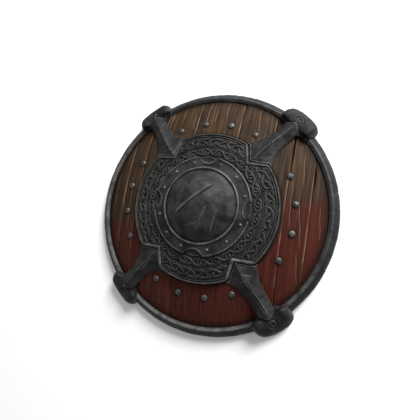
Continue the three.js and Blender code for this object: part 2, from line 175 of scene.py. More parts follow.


# %% [markdown]
# ## Wear that follows the shape
#
# Hands and weapons rub the raised edges of iron bright, and soot and wax stay in the hollows. A
# vertex that stands proud of its neighbours is on an edge, and one that lies below them is in a
# hollow, so that one measurement gives both. It is kept on the mesh as two attributes, "worn" and
# "deep", which the materials read. Cuts and rubbed places then raise them where a formula can't
# know: soot with painted shade lies in a deep cut, a bright burr with a painted highlight beside it,
# and a shallow scratch is only bright. "deep" also carries painted shade on the upper fittings, and
# "worn" a painted highlight on the rim's inner slope.

# %% Edge wear and finishing a piece
SCRATCH_DEPTH = 1.0  # millimetres; anything shallower is a scratch
SCRATCH_SHINE = 1.7
PROUD_FROM, PROUD_TO = 0.02, 0.14  # height above the neighbours, as a share of their distance


def vertex_places(mesh):
    """The x, y and z of all vertices, as three arrays."""
    at = np.empty(3 * len(mesh.vertices))
    mesh.vertices.foreach_get("co", at)
    return at.reshape(-1, 3).T


def store(mesh, name, value):
    """Keeps one number for each vertex on the mesh."""
    layer = mesh.attributes.new(name, "FLOAT", "POINT")
    layer.data.foreach_set("value", np.asarray(value, dtype=np.float32))


def touch_up(mesh, name, share, keep=1.0):
    """Keeps some of a stored value and raises it to share, which may differ at each vertex."""
    layer = mesh.attributes[name].data
    value = np.empty(len(layer), dtype=np.float32)
    layer.foreach_get("value", value)
    layer.foreach_set("value", np.maximum(value * keep, share).astype(np.float32))


def measure_wear(mesh, spread):
    """Stores how far each vertex stands above or below its neighbours, spread over some rings."""
    count = len(mesh.vertices)
    at = vertex_places(mesh)
    normals = np.empty(count * 3)
    mesh.vertex_normals.foreach_get("vector", normals)
    ends = np.empty(len(mesh.edges) * 2, dtype=np.int64)
    mesh.edges.foreach_get("vertices", ends)
    a, b = ends.reshape(-1, 2).T
    degree = np.bincount(a, minlength=count) + np.bincount(b, minlength=count)

    def around(at_a, at_b):
        """The mean over each vertex's edges of a value seen from either end."""
        return (np.bincount(a, at_b, count) + np.bincount(b, at_a, count)) / degree

    reach = np.linalg.norm(at[:, a] - at[:, b], axis=0)
    proud = sum((line - around(line[a], line[b])) * normal
                for line, normal in zip(at, normals.reshape(-1, 3).T))
    proud /= np.maximum(around(reach, reach), 1e-9)
    for _ in range(spread):
        proud = 0.5 * proud + 0.5 * around(proud[a], proud[b])
    store(mesh, "worn", smooth_step(PROUD_FROM, PROUD_TO, proud))
    store(mesh, "deep", smooth_step(PROUD_FROM, PROUD_TO, -proud))


def mark_cuts(mesh, cuts, place=None):
    """Puts soot with painted shade in a deep cut and a burr with a painted highlight beside it, or only a
    shine along a scratch.
    """
    x, y, _ = vertex_places(mesh)
    if place:
        x, y = place(x, y)
    for start, end, width, depth in cuts:
        ahead = Vector((end[0] - start[0], end[1] - start[1])).normalized()
        strength = min(1.15, 0.5 + 0.25 * depth)
        # Soot goes to one side of the cut and the burr to the other: painted shade on one wall and a painted
        # highlight on the other.
        marks = [("deep", -0.2, strength), ("worn", 0.4, strength)]
        if depth < SCRATCH_DEPTH:
            marks = [("worn", 0, SCRATCH_SHINE)]
        for name, shift, strength in marks:
            aside = shift * width * MM
            ends = [(px * MM - ahead.y * aside, py * MM + ahead.x * aside) for px, py in (start, end)]
            line = groove(x, y, *ends, 0.75 * width * MM)
            touch_up(mesh, name, strength * smooth_step(0, 0.6, line))


def make_piece(bm, name, material, nodes, spread=2, smooth_angle=40):
    """Turns a finished bmesh into an object that stands for CAD nodes and rides with them."""
    mesh = bpy.data.meshes.new(name)
    bm.to_mesh(mesh)
    bm.free()
    mesh.shade_smooth()
    mesh.set_sharp_from_angle(angle=math.radians(smooth_angle))
    measure_wear(mesh, spread)
    mesh.materials.append(material)
    piece = bpy.data.objects.new(name, mesh)
    bpy.context.scene.collection.objects.link(piece)
    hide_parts(*nodes)
    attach(piece, "root")
    triangles = sum(len(face.vertices) - 2 for face in mesh.polygons)
    print(f"{name}: {triangles} triangles")
    return piece


# %% [markdown]
# ## Colours and nodes
#
# Paint charts give colours as sRGB hex values, while a shader works in linear light, so one function
# turns the first into the second. Another adds a node together with its settings and its inputs.
# An input is a plain value, an output, or an earlier node, which then hands on its main output.

# %% Colour and node helpers
MIX_A, MIX_B = 6, 7  # a colour mix's two inputs
MAIN_OUTPUT = {"ShaderNodeMix": 2, "ShaderNodeAttribute": 2, "ShaderNodeTexCoord": 3}  # others: 0


def linear(hex_colour):
    """An sRGB hex value, such as "8a5a32", as linear red, green, blue and alpha."""
    parts = [int(hex_colour[i:i + 2], 16) / 255 for i in (0, 2, 4)]
    return (*[c / 12.92 if c <= 0.04045 else ((c + 0.055) / 1.055) ** 2.4 for c in parts], 1)


def add_node(tree, kind, inputs=None, **settings):
    """Adds one shader node. inputs maps a socket's name or number to what goes into it."""
    made = tree.nodes.new("ShaderNode" + kind)
    if kind == "Mix":
        made.data_type = "RGBA"
    for key, value in settings.items():
        setattr(made, key, value)
    for key, value in (inputs or {}).items():
        if isinstance(value, bpy.types.Node):
            value = value.outputs[MAIN_OUTPUT.get(value.bl_idname, 0)]
        if isinstance(value, bpy.types.NodeSocket):
            tree.links.new(value, made.inputs[key])
        else:
            made.inputs[key].default_value = value
    return made


def new_material(name):
    """An empty node material, and add_node ready for its tree."""
    material = bpy.data.materials.new(name)
    material.use_nodes = True
    material.node_tree.nodes.clear()
    return material, functools.partial(add_node, material.node_tree)


# %% [markdown]
# ## Blackened forged iron
#
# The ironwork was forged from bar and sheet, then blackened by burning oil onto it hot. That leaves
# a dark oxide skin with a satin gloss, mottled where the oil took unevenly, and faintly dimpled by
# the hammer. Where hands and blows have rubbed it, bare metal shows lighter and smoother, in
# patches. The oxide scatters light more than it mirrors it, so the metallic share is low, and a
# broad, dull sheen is left to the roughness. The hammer's marks are about 14 mm apart. The pits of
# the scale are under a millimetre on a real piece, and are drawn at 2.4 mm so that they show.

# %% Iron materials
IRON_METALLIC = 0.35
OXIDE_SHEEN = 0.25  # burnt oil reflects less than clean glass
# The soot colour darkens the hollows, and is also painted shade in deep cuts and on the upper fittings.
SOOT_AND_SHADE, SOOT_AND_SHADE_COVER = "080808", 0.85


def forged_iron(name, dark, mid, rubbed, roughness, mark_depth, sheen=OXIDE_SHEEN):
    material, node = new_material(name)
    place = node("TexCoord")
    cloud = node("TexNoise", {"Vector": place, "Scale": 1 / (34 * MM), "Detail": 7, "Roughness": 0.62})
    grit = node("TexNoise", {"Vector": place, "Scale": 1 / (2.4 * MM), "Detail": 4, "Roughness": 0.6})
    handled = node("TexNoise", {"Vector": place, "Scale": 1 / (21 * MM), "Detail": 3})
    marks = node("TexVoronoi", {"Vector": place, "Scale": 1 / (14 * MM), "Smoothness": 0.8},
                 feature="SMOOTH_F1")
    worn = node("Attribute", attribute_name="worn")
    deep = node("Attribute", attribute_name="deep")

    cloud_share = node("MapRange", {"Value": cloud, "From Min": 0.4, "From Max": 0.6})
    skin = node("Mix", {0: cloud_share, MIX_A: linear(dark), MIX_B: linear(mid)})
    grit_share = node("MapRange", {"Value": grit, "From Min": 0.3, "From Max": 0.62})
    patches = node("MapRange", {"Value": handled, "From Min": 0.36, "From Max": 0.58, "To Min": 0.3})
    patchy = node("Math", {0: worn, 1: patches}, operation="MULTIPLY")
    rub = node("Math", {0: patchy, 1: grit_share}, operation="MULTIPLY")
    rubbed_skin = node("Mix", {0: rub, MIX_A: skin, MIX_B: linear(rubbed)})
    soot_and_shade = node("Math", {0: deep, 1: SOOT_AND_SHADE_COVER}, operation="MULTIPLY")
    colour = node("Mix", {0: soot_and_shade, MIX_A: rubbed_skin, MIX_B: linear(SOOT_AND_SHADE)})

    gloss = node("MapRange", {"Value": grit, "From Min": 0.3, "From Max": 0.7,
                              "To Min": roughness - 0.07, "To Max": roughness + 0.1})
    rub_gloss = node("Math", {0: rub, 1: -0.12, 2: gloss}, operation="MULTIPLY_ADD")
    hammered = node("Bump", {"Height": marks, "Distance": mark_depth, "Strength": 0.7})
    pitted = node("Bump", {"Height": grit, "Distance": 0.35 * MM, "Strength": 0.5, "Normal": hammered})
    shader = node("BsdfPrincipled", {"Base Color": colour, "Metallic": IRON_METALLIC, "Normal": pitted,
                                     "Roughness": rub_gloss, "Specular IOR Level": sheen})
    node("OutputMaterial", {"Surface": shader})
    return material


IRON_RIM = forged_iron("blackened_forged_iron_rim", "151516", "212123", "605f5e", 0.62, 1.2 * MM)
IRON_ARMS = forged_iron("blackened_forged_iron_arms", "141414", "282828", "62615f", 0.62, 1.4 * MM)
IRON_CLAMPS = forged_iron("sooty_forged_iron_clamps", "121212", "222122", "4a4947", 0.65, 1.4 * MM)
IRON_PLATE = forged_iron("blackened_carved_iron", "121212", "252524", "666461", 0.64, 0.3 * MM)
IRON_BOSS = forged_iron("blackened_raised_iron_boss", "131314", "333334", "666563", 0.58, 0.8 * MM)
# The rivets' colours are lighter than the other iron's, partly as a painted highlight on their domed heads.
IRON_RIVET = forged_iron("dulled_iron_rivets", "1f1f1f", "3c3c3b", "6c6a67", 0.48, 0.5 * MM, sheen=0.5)
print("nodes in one iron finish:", len(IRON_RIM.node_tree.nodes))


# %% [markdown]
# ## Old boards, half painted
#
# The boards are sawn oak, darkened by oil, smoke and handling. Their fibres run the whole length,
# so every pattern is squeezed across the board and stretched along it: bands of early and late
# wood about 11 mm wide, and fibres that run on for a hand's breadth. Real fibres are finer, and are
# drawn about 4 mm wide so that they show. A "tree" number on each board shifts the pattern, since
# no two boards were cut from the same place. The lower half of the face was painted with an earth
# red, which has worn off the raised fibres and stayed in the grain. The edge of the paint slants,
# and follows the fibres.

# %% Wood materials
PAINT_MIDDLE = -0.03 * SHIELD_RADIUS  # height of the paint's edge over the middle
PAINT_SLANT = 0.23  # and its rise across the shield
PAINT, PAINT_IN_FIBRES = "46150f", "270d08"
# The dark for grime in splits, and for grime with painted shade beside seams and ironwork.
GRIME_AND_SHADE = "0a0604"


def sawn_oak(name, dark, mid, light, rubbed_and_lit_edge, painted):
    material, node = new_material(name)
    place = node("TexCoord")
    tree, tone, rubbed, seam, split = [node("Attribute", attribute_name=kept) for kept in (
        "tree", "tone", "rubbed", "seam", "split")]
    own = node("CombineXYZ", {"X": tree, "Y": tree, "Z": tree})
    moved = node("VectorMath", {0: place, 1: own}, operation="ADD")
    along = node("Mapping", {"Vector": moved, "Scale": (1, 0.03, 0.1)})
    bands = node("TexNoise", {"Vector": along, "Scale": 1 / (11 * MM), "Detail": 3, "Roughness": 0.55,
                              "Distortion": 0.3})
    fibres = node("TexNoise", {"Vector": along, "Scale": 1 / (4.2 * MM), "Detail": 3, "Roughness": 0.55})
    stains = node("TexNoise", {"Vector": place, "Scale": 1 / (70 * MM), "Detail": 5, "Roughness": 0.6})

    band_share = node("MapRange", {"Value": bands, "From Min": 0.38, "From Max": 0.62})
    ground = node("Mix", {0: band_share, MIX_A: linear(mid), MIX_B: linear(light)})
    fibre_share = node("MapRange", {"Value": fibres, "From Min": 0.64, "From Max": 0.3, "To Max": 0.75})
    fibred = node("Mix", {0: fibre_share, MIX_A: ground, MIX_B: linear(dark)})
    stain_share = node("MapRange", {"Value": stains, "From Min": 0.42, "From Max": 0.75, "To Max": 0.7})
    wood = node("Mix", {0: stain_share, MIX_A: fibred, MIX_B: linear(dark)})
    surface = node("HueSaturation", {"Value": tone, "Color": wood})

    if painted:
        parts = node("SeparateXYZ", {"Vector": place})
        edge = node("Math", {0: parts.outputs["X"], 1: PAINT_SLANT, 2: PAINT_MIDDLE},
                    operation="MULTIPLY_ADD")
        below = node("Math", {0: edge, 1: parts.outputs["Y"]}, operation="SUBTRACT")
        ragged = node("MapRange", {"Value": fibres, "From Min": 0.3, "From Max": 0.7,
                                   "To Min": -12 * MM, "To Max": 12 * MM})
        reach = node("Math", {0: below, 1: ragged}, operation="ADD")
        cover = node("MapRange", {"Value": reach, "From Min": -9 * MM, "From Max": 12 * MM})
        front = node("Attribute", attribute_name="front")
        on_front = node("Math", {0: cover, 1: front}, operation="MULTIPLY")
        rub_place = node("Mapping", {"Vector": moved, "Scale": (1, 0.09, 1)})
        rub = node("TexNoise", {"Vector": rub_place, "Scale": 1 / (6 * MM), "Detail": 6, "Roughness": 0.68})
        kept = node("MapRange", {"Value": rub, "From Min": 0.66, "From Max": 0.5,
                                 "To Min": 0.28, "To Max": 0.82})
        paint_share = node("Math", {0: on_front, 1: kept}, operation="MULTIPLY")
        red = node("Mix", {0: fibre_share, MIX_A: linear(PAINT), MIX_B: linear(PAINT_IN_FIBRES)})
        surface = node("Mix", {0: paint_share, MIX_A: surface, MIX_B: red})

    # The rubbed share is fresh wood with a painted highlight on the groove walls that face the lamp.
    edged = node("Mix", {0: rubbed, MIX_A: surface, MIX_B: linear(rubbed_and_lit_edge)})
    # Grime with painted shade beside seams and ironwork, and grime in the splits, darken the wood.
    dirt_and_shade = node("Math", {0: seam, 1: split}, operation="MAXIMUM")
    colour = node("Mix", {0: dirt_and_shade, MIX_A: edged, MIX_B: linear(GRIME_AND_SHADE)})
    gloss = node("MapRange", {"Value": fibres, "From Min": 0.3, "From Max": 0.7,
                              "To Min": 0.85, "To Max": 0.65})
    coarse = node("Bump", {"Height": bands, "Distance": 1.2 * MM, "Strength": 0.5})
    fine = node("Bump", {"Height": fibres, "Distance": 0.7 * MM, "Strength": 0.6, "Normal": coarse})
    shader = node("BsdfPrincipled", {"Base Color": colour, "Roughness": gloss, "Normal": fine,
                                     "Specular IOR Level": 0.12})
    node("OutputMaterial", {"Surface": shader})
    return material


OAK_BOARDS = sawn_oak("smoked_sawn_oak_part_painted", "1c120b", "302316", "493522", "7e6752", painted=True)
ASH_GRIP = sawn_oak("hand_rubbed_ash", "33241a", "6a5238", "8c7150", "a08560", painted=False)
print("nodes in the painted oak:", len(OAK_BOARDS.node_tree.nodes))


# %% [markdown]
# ## The outline of the central plate
#
# The plate is a circle with four V notches, one for each arm. Both the plate itself and the grime
# on the boards around it need to know how far a point lies from that outline, so it comes first.

# %% Plate sizes and outline
PLATE_RADIUS = 178 * MM
PLATE_HOLE = 80 * MM
PLATE_TOP = 9 * MM
NOTCH_CORNER = 147 * MM
NOTCH_HALF_ANGLE = math.radians(51)
FINE_FROM = 99 * MM  # inside this the boss's flange hides the plate


def from_arm(x, y):
    """Distance out along the nearest arm, and distance to its side."""
    flat = np.arctan2(np.abs(y), np.abs(x)) - ARM_ANGLE
    radius = np.hypot(x, y)
    return radius * np.cos(flat), np.abs(radius * np.sin(flat))


def plate_edge(bearing):
    """The plate's outline, as its distance from the middle."""
    out, side = from_arm(np.cos(bearing), np.sin(bearing))
    off_arm = np.arctan2(side, out)
    opening = np.maximum(NOTCH_HALF_ANGLE - off_arm, 0.05)
    notch = NOTCH_CORNER * math.sin(NOTCH_HALF_ANGLE) / np.sin(opening)
    return -smooth_max(-notch, np.full_like(notch, -PLATE_RADIUS), 5 * MM)


def smooth_max(a, b, width):
    """The larger of two arrays, with the corner between them rounded over a width."""
    blend = np.clip(width - np.abs(a - b), 0, width) / width
    return np.maximum(a, b) + blend ** 2 * width / 4


def to_border(x, y):
    """Distance inwards from the plate's outline."""
    out, side = from_arm(x, y)
    across_notch = (NOTCH_CORNER - out) * math.sin(NOTCH_HALF_ANGLE) + side * math.cos(NOTCH_HALF_ANGLE)
    return -smooth_max(-(PLATE_RADIUS - np.hypot(x, y)), -across_notch, 6 * MM)


# %% [markdown]
# ## The boards
#
# Ten boards make the dome. Each one is a slab bent to the frame's place: its sides are straight,
# its ends follow the round edge, and the middle ones stop at the hand hole. The top is not
# smooth. Planing left each board a little crowned, the arrises along the seams have crumbled,
# and drying has opened splits along the fibres. Those are modelled, because they catch light and
# throw shadows; only the fibres themselves are left to the material.

# %% Splits in the boards
# Each split is a cut along the fibres: its start and end, then its width and depth.
SPLITS = [
    ((-28, 292), (-33, 188), 3.4, 1.6), ((-9, 258), (-10, 214), 3.0, 1.4),
    ((16, 294), (19, 226), 3.0, 1.2), ((98, 262), (103, 190), 2.8, 1.1),
    ((-66, 246), (-62, 190), 2.8, 1.2), ((-92, 284), (-100, 210), 2.6, 1.1),
    ((-136, 262), (-142, 204), 4.2, 1.8), ((-126, 250), (-131, 206), 2.6, 1.1),
    ((186, 152), (187, 134), 3.4, 1.5), ((216, 150), (220, 74), 2.6, 1.3),
    ((214, 62), (229, -62), 2.8, 1.5), ((224, -70), (231, -150), 2.6, 1.3),
    ((262, 40), (267, -40), 2.4, 1.0), ((196, 92), (201, -30), 2.2, 1.0),
    ((-231, 118), (-224, -60), 3.4, 1.4), ((-206, 60), (-199, -96), 2.4, 1.0),
    ((-262, 64), (-258, -22), 2.4, 1.0), ((-158, -150), (-152, -214), 2.4, 1.1),
    ((-12, -196), (-9, -262), 2.6, 1.2), ((26, -212), (30, -258), 2.2, 1.0),
    ((104, -186), (110, -232), 2.4, 1.1), ((-84, -206), (-80, -250), 2.2, 1.0),
    ((163, -150), (167, -196), 2.4, 1.1),
]


def waver(x, y):
    """Splits run along the fibres, which swing a little from side to side."""
    return x + 0.9 * MM * np.sin(y / (17 * MM)) + 0.5 * MM * np.sin(y / (6.5 * MM) + 1)


def split_depth(x, y):
    return cut_depth(waver(x, y), y, SPLITS)


print(len(SPLITS), "splits, the deepest", max(cut for _, _, _, cut in SPLITS), "mm")

# %% [markdown]
# ## Bending each board and ageing it
#
# The frame gives each board's sides, and the shield's circle gives its ends. Six numbers are kept
# on every vertex for the wood's material: which side is the face, grime and painted shade beside seams
# and ironwork, fresh wood with a painted highlight on rubbed edges, splits, and the board's own tone,
# with painted light towards the upper right, and tree. The back was never painted
# and saw no weather, so paint, splits and rubbed edges are left off it.

# %% Bend and finish each board
FINE_STEP = 1.35 * MM  # vertex spacing across the fibres
LONG_STEP = 4.2 * MM  # and along them
SLOT_RADIUS = 286.5 * MM  # where the outermost boards end, inside the rim's slot
SEAM_CLOSING = 0.2 * MM  # the visible joint is tighter than the solid's
ARRIS = 2.3 * MM  # width of the crumbled edge beside a seam
BOARD_RIVET_CIRCLE = 210 * MM
RIVET_SPACING = math.radians(18)

board_nodes = sorted(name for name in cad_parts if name.startswith("board_") and "rivet" not in name)


def board_sides(node):
    """A board's left and right sides, from the frame, a little closer to its neighbours."""
    low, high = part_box(node)
    left = max(low.x - SEAM_CLOSING, -SLOT_RADIUS)
    right = min(high.x + SEAM_CLOSING, SLOT_RADIUS)
    return left, right


def plan_board(node, x, y):
    """Where a unit slab's corners lie on the shield, seen from above."""
    left, right = board_sides(node)
    across = left + (x + 1) / 2 * (right - left)
    end = np.sqrt(BOARD_RADIUS ** 2 - across ** 2)
    hole = np.sqrt(np.maximum(HAND_HOLE_RADIUS ** 2 - across ** 2, 0))
    if node.endswith("upper"):
        return across, hole + (y + 1) / 2 * (end - hole)
    if node.endswith("lower"):
        return across, -end + (y + 1) / 2 * (end - hole)
    along = y * end
    bite = np.sqrt(np.maximum(HAND_HOLE_RADIUS ** 2 - along ** 2, 0))
    near, far = (left, right) if abs(left) < abs(right) else (right, left)
    stop = math.copysign(1, near) * np.maximum(bite, abs(near))
    if abs(near) > HAND_HOLE_RADIUS:
        return across, along
    share = (across - far) / (near - far)
    return far + share * (stop - far), along


def bare_share(x, y):
    """1 on bare wood, 0 on the painted half."""
    return smooth_step(-20 * MM, 30 * MM, y - PAINT_MIDDLE - PAINT_SLANT * x)


def arris_depth(x, y, left, right, seed):
    """How far the edges beside a board's seams have crumbled, most of all on the bare wood."""
    beside = np.minimum(x - left, 1.6 * (right - x))
    patchy = np.clip(0.66 + 0.5 * ripple(x * 0.2, y, 90 * MM, seed + 60, 4), 0.25, 1)
    near_rim = 0.75 + 0.45 * smooth_step(190 * MM, 270 * MM, np.hypot(x, y))
    opened = (0.25 + 0.75 * bare_share(x, y)) * patchy * near_rim
    width = ARRIS * (0.5 + 1.1 * opened + 0.25 * ripple(x, y, 30 * MM, seed + 50))
    return 4 * MM * opened * np.clip(1 - beside / np.maximum(width, 0.8 * MM), 0, 1) ** 1.2


def rubbed_and_lit_band(x, y, right, seed):
    """Fresh wood and a painted highlight on a board's right edge and on the left lip of each split, where
    grit rubs it and the lamp lights it.
    """
    band = np.clip(1 - np.abs(right - x - 1.2 * MM) / (1.7 * MM), 0, 1)
    stretches = 0.35 + 0.65 * smooth_step(-0.7, 0.7, ripple(x * 0.3, y, 60 * MM, seed + 70, 5))
    upper = smooth_step(-190 * MM, -70 * MM, y)
    lips = np.zeros_like(x)
    for start, end, width, _ in SPLITS:
        ends = [((px - 0.62 * width) * MM, py * MM) for px, py in (start, end)]
        lips = np.maximum(lips, groove(waver(x, y), y, *ends, 1.1 * width * MM))
    edge = 0.8 * band * stretches * (0.15 + 0.85 * upper)
    return np.maximum(edge, 0.55 * lips * (0.35 + 0.65 * upper))


def grime_and_shade_by_iron(x, y, front):
    """Painted shade, with soot and wax that a cloth can't reach, on the wood beside the plate, the rim and
    the rivets.
    """
    beside_plate = front * smooth_step(-10 * MM, -1 * MM, to_border(x, y))
    radius, bearing = np.hypot(x, y), np.arctan2(y, x)
    beside_rim = 0.8 * smooth_step(262 * MM, 281 * MM, radius)
    off_rivet = (np.mod(bearing, RIVET_SPACING) - RIVET_SPACING / 2) * radius
    beside_rivet = 0.5 * smooth_step(15 * MM, 7 * MM, np.hypot(radius - BOARD_RIVET_CIRCLE, off_rivet))
    return np.maximum(np.maximum(beside_plate, beside_rim), beside_rivet)


def make_board(node, seed):
    left, right = board_sides(node)
    draw = np.random.default_rng(seed)
    lift, tilt, tree = draw.uniform(-1.6, 0.4), draw.uniform(-0.9, 0.9), draw.uniform(0, 9)
    low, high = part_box(node)
    columns = max(8, round((right - left) / FINE_STEP))
    rows = max(12, round((high.y - low.y) / LONG_STEP))

    def place(x, y, z):
        across, along = plan_board(node, x, y)
        hollow = arris_depth(across, along, left, right, seed) + split_depth(across, along)
        planed = 0.22 * MM * ripple(across, along * 0.2, 16 * MM, seed + 90)
        crowned = (lift + tilt * x - 0.5 * x ** 2) * MM
        top = crowned + planed - hollow
        height = face_height(np.hypot(across, along)) - (1 - z) * BOARD_THICKNESS + z * top
        return across, along, height

    bm = unit_slab(columns, rows)
    bend(bm, place)
    piece = make_piece(bm, f"plank_{node}", OAK_BOARDS, [node])
    px, py, pz = vertex_places(piece.data)
    front = smooth_step(0.95, 0.6, (face_height(np.hypot(px, py)) - pz) / BOARD_THICKNESS)
    seam = arris_depth(px, py, left, right, seed) / (0.9 * MM)
    # Painted shade: the crumbled edge stays dark on a board's left side, the groove wall that faces away from
    # the lamp, and is made lighter on its right side, which faces it.
    seam *= 1 - 0.75 * smooth_step(6 * MM, 3 * MM, right - px)
    # Painted light: the boards are made lighter towards the upper right, where the lamp stands.
    painted_light_upper_right = 0.06 * smooth_step(0.05, 0.25, px * 0.5 + py)
    for name, value in (
            ("front", front),
            ("seam", np.maximum(np.clip(seam, 0, 1), grime_and_shade_by_iron(px, py, front))),
            ("rubbed", front * rubbed_and_lit_band(px, py, right, seed)),
            ("split", front * np.clip(split_depth(px, py) / (0.8 * MM), 0, 1)),
            ("tone", draw.uniform(0.78, 1.08) + painted_light_upper_right),
            ("tree", np.full_like(px, tree))):
        store(piece.data, name, value)


for number, node in enumerate(board_nodes):
    make_board(node, 11 + number)


# %% [markdown]
# ## The rim
#
# A channel of iron was closed over the edge of the boards with a hammer. On the face it has a
# roof-shaped section: a short slope that climbs from the wood to a crest, and a longer one that
# falls to the outer edge. The section is spun all the way round, and the result is then dented a
# little, only inwards, so that it never grows past the frame. Carrying has rubbed the crest's
# inner slope, and a painted highlight lightens it too, most of all at lower left, where it faces the lamp.

# %% Rim
RIM_PROFILE = [
    (281, 10.8), (280.9, 12.2), (281.6, 13.1), (283.8, 14.2), (286.2, 15.5), (287.9, 16.0), (289.6, 15.6),
    (292.5, 13.6), (296, 10.8), (299.5, 7.8), (302.6, 4.6), (304.4, 2.0), (305, 0), (304.7, -2.6),
    (303.2, -5.2), (300.4, -7.2), (296.5, -8.5), (292.5, -8.8), (287, -7.4), (281.4, -5.2), (280.8, -4),
    (281.2, -2.8), (289.6, -4.4), (289.6, 7.6),
]
RIM_CUTS = [
    ((287, 68), (306, 84), 3.2, 2.2), ((290, -30), (306, -40), 2.6, 0.9),
    ((289, 46), (305, 40), 2.6, 1.1), ((-172, 238), (-186, 248), 2.4, 1.0),
    ((-292, 24), (-306, 20), 2.2, 1.0), ((24, 286), (30, 306), 2.0, 0.9),
    ((-60, -284), (-66, -304), 2.4, 1.1), ((118, -262), (124, -282), 2.0, 0.9),
]
RIM_STEPS = 900


def dent_rim(x, y, z):
    radius = np.hypot(x, y)
    bearing = np.arctan2(y, x)
    hammered = 0.5 + 0.5 * ripple(bearing * SHIELD_RADIUS, z, 26 * MM, 5)
    outside = smooth_step(-4 * MM, 3 * MM, z - RIM_PLANE)
    sink = 0.45 * MM * np.clip(hammered, 0, 1.4) + cut_depth(x, y, RIM_CUTS)
    inward = sink * smooth_step(288 * MM, 300 * MM, radius)
    shrunk = (radius - inward) / radius
    return x * shrunk, y * shrunk, z - sink * outside * smooth_step(281.2 * MM, 283 * MM, radius)


def rub_and_light_crest(mesh):
    x, y, z = vertex_places(mesh)
    radius = np.hypot(x, y)
    slope = smooth_step(282.5 * MM, 284.5 * MM, radius) * smooth_step(289.4 * MM, 288 * MM, radius)
    # Painted highlight along with the wear: the inner slope is made lightest at lower left, where it faces
    # the lamp, and least at the top, which faces away.
    carried_and_lit = 0.2 + 0.8 * smooth_step(120 * MM, -150 * MM, x * 0.5 + y * 0.87)
    touch_up(mesh, "worn", 1.7 * carried_and_lit * slope * (z > RIM_PLANE), keep=0.7)


rim = spun_ring([(r * MM, RIM_PLANE + z * MM) for r, z in RIM_PROFILE], RIM_STEPS)
bend(rim, dent_rim)
rim_piece = make_piece(rim, "rim_channel", IRON_RIM, ["rim"])
mark_cuts(rim_piece.data, RIM_CUTS)
rub_and_light_crest(rim_piece.data)


# %% [markdown]
# ## The carved plate
#
# The plate is a shallow iron pan with its edge turned down to the wood, four V notches for the
# arms, and a raised bead round the border. Between the boss and the bead run two bands of
# interlace, cut into the iron with a chisel. The interlace is a plait: each strand swings from side
# to side as a sine wave, the strands share the circle evenly, and where two of them cross the one
# that is higher at that moment passes over. Small rings are threaded through the wide band. All of
# it is a height above the plate's sheet, worked out for every vertex of a fine polar grid.

# %% Interlace
STRAND_RISE = 1.5 * MM
GROUND_DEPTH = 1.3 * MM
GAP_BESIDE_STRAND = 1.0 * MM
WIDE_MIDDLE = 155.5 * MM
NARROW_MIDDLE = 129.5 * MM
BITE_LEAF_MIDDLE = 109 * MM
NARROW_FROM = 118 * MM
LINE_RADIUS = 142.2 * MM  # the raised line between the two bands
WIDE_FROM = LINE_RADIUS + 0.2 * MM
UNDER_ALL = -9.0  # lower than any strand's lift


def lay_strand(height, top, away, half_width, lift):
    """Lays one strand over the height so far, where its lift says that it passes over."""
    over = lift > top
    beside = away < half_width + GAP_BESIDE_STRAND
    rounded = np.sqrt(np.clip(1 - (away / half_width) ** 4, 0, 1))
    height = np.where(beside & over, rounded * (1 + 0.12 * lift), height)
    top = np.where(beside & over, lift, top)
    return height, top


def plait(bearing, across, radius, half_band, strands, waves, half_width):
    """Height, 0 to 1, of a plait that fills a band; across is the distance from its middle line."""
    height, top = np.zeros_like(across), np.full_like(across, UNDER_ALL)
    swing = half_band - half_width
    for strand in range(strands):
        phase = bearing * waves + 2 * math.pi * strand / strands
        pointed = np.sin(phase) + 0.12 * np.sin(3 * phase)
        slope = swing * waves * np.cos(phase) / radius
        away = np.abs(across - swing * pointed) / np.hypot(1, slope)
        lift = np.cos(phase) if strands == 2 else -np.sin(2 * phase)
        height, top = lay_strand(height, top, away, half_width, lift)
    return height, top


def thread_rings(height, top, bearing, across, radius, count, ring, half_width):
    """Threads rings through a plait, over on one side and under on the other."""
    step = 2 * math.pi / count
    beside = (np.mod(bearing, step) - step / 2) * radius
    away = np.abs(np.hypot(beside, across) - ring)
    lift = 1.3 * np.sin(2 * np.arctan2(across, beside) + 0.5)
    return lay_strand(height, top, away, half_width, lift)


def carved_bands(radius, bearing):
    """Height, 0 to 1, of both bands of interlace and of the leaves in the flange's bites."""
    across = radius - WIDE_MIDDLE
    wide, top = plait(bearing, across, WIDE_MIDDLE, 12.8 * MM, 3, 11, 3.5 * MM)
    wide, _ = thread_rings(wide, top, bearing, across, WIDE_MIDDLE, 22, 7.8 * MM, 2.7 * MM)
    across = radius - NARROW_MIDDLE
    narrow, top = plait(bearing, across, NARROW_MIDDLE, 10.8 * MM, 2, 12, 3.2 * MM)
    narrow, _ = thread_rings(narrow, top, bearing, across, NARROW_MIDDLE, 24, 4.2 * MM, 2.3 * MM)
    off_axis = np.mod(bearing + math.pi / 4, math.pi / 2) - math.pi / 4
    out, side = radius * np.cos(off_axis) - BITE_LEAF_MIDDLE, radius * np.sin(off_axis)
    away = np.abs(np.abs(out) - 6 * MM * (1 - (side / (17 * MM)) ** 2))
    flat, under = np.zeros_like(out), np.full_like(out, UNDER_ALL)
    leaf, _ = lay_strand(flat, under, away, 1.6 * MM, flat)
    leaf = np.where(np.abs(side) < 18 * MM, np.maximum(leaf, 0.45), 0)
    inner = np.where(radius > NARROW_FROM, narrow, leaf)
    return np.where(radius > WIDE_FROM, wide, inner)


def ridge(away, half_width):
    """A rounded line: 1 on its crest and 0 from half a width beside it."""
    return np.sqrt(np.clip(1 - (away / half_width) ** 2, 0, 1))


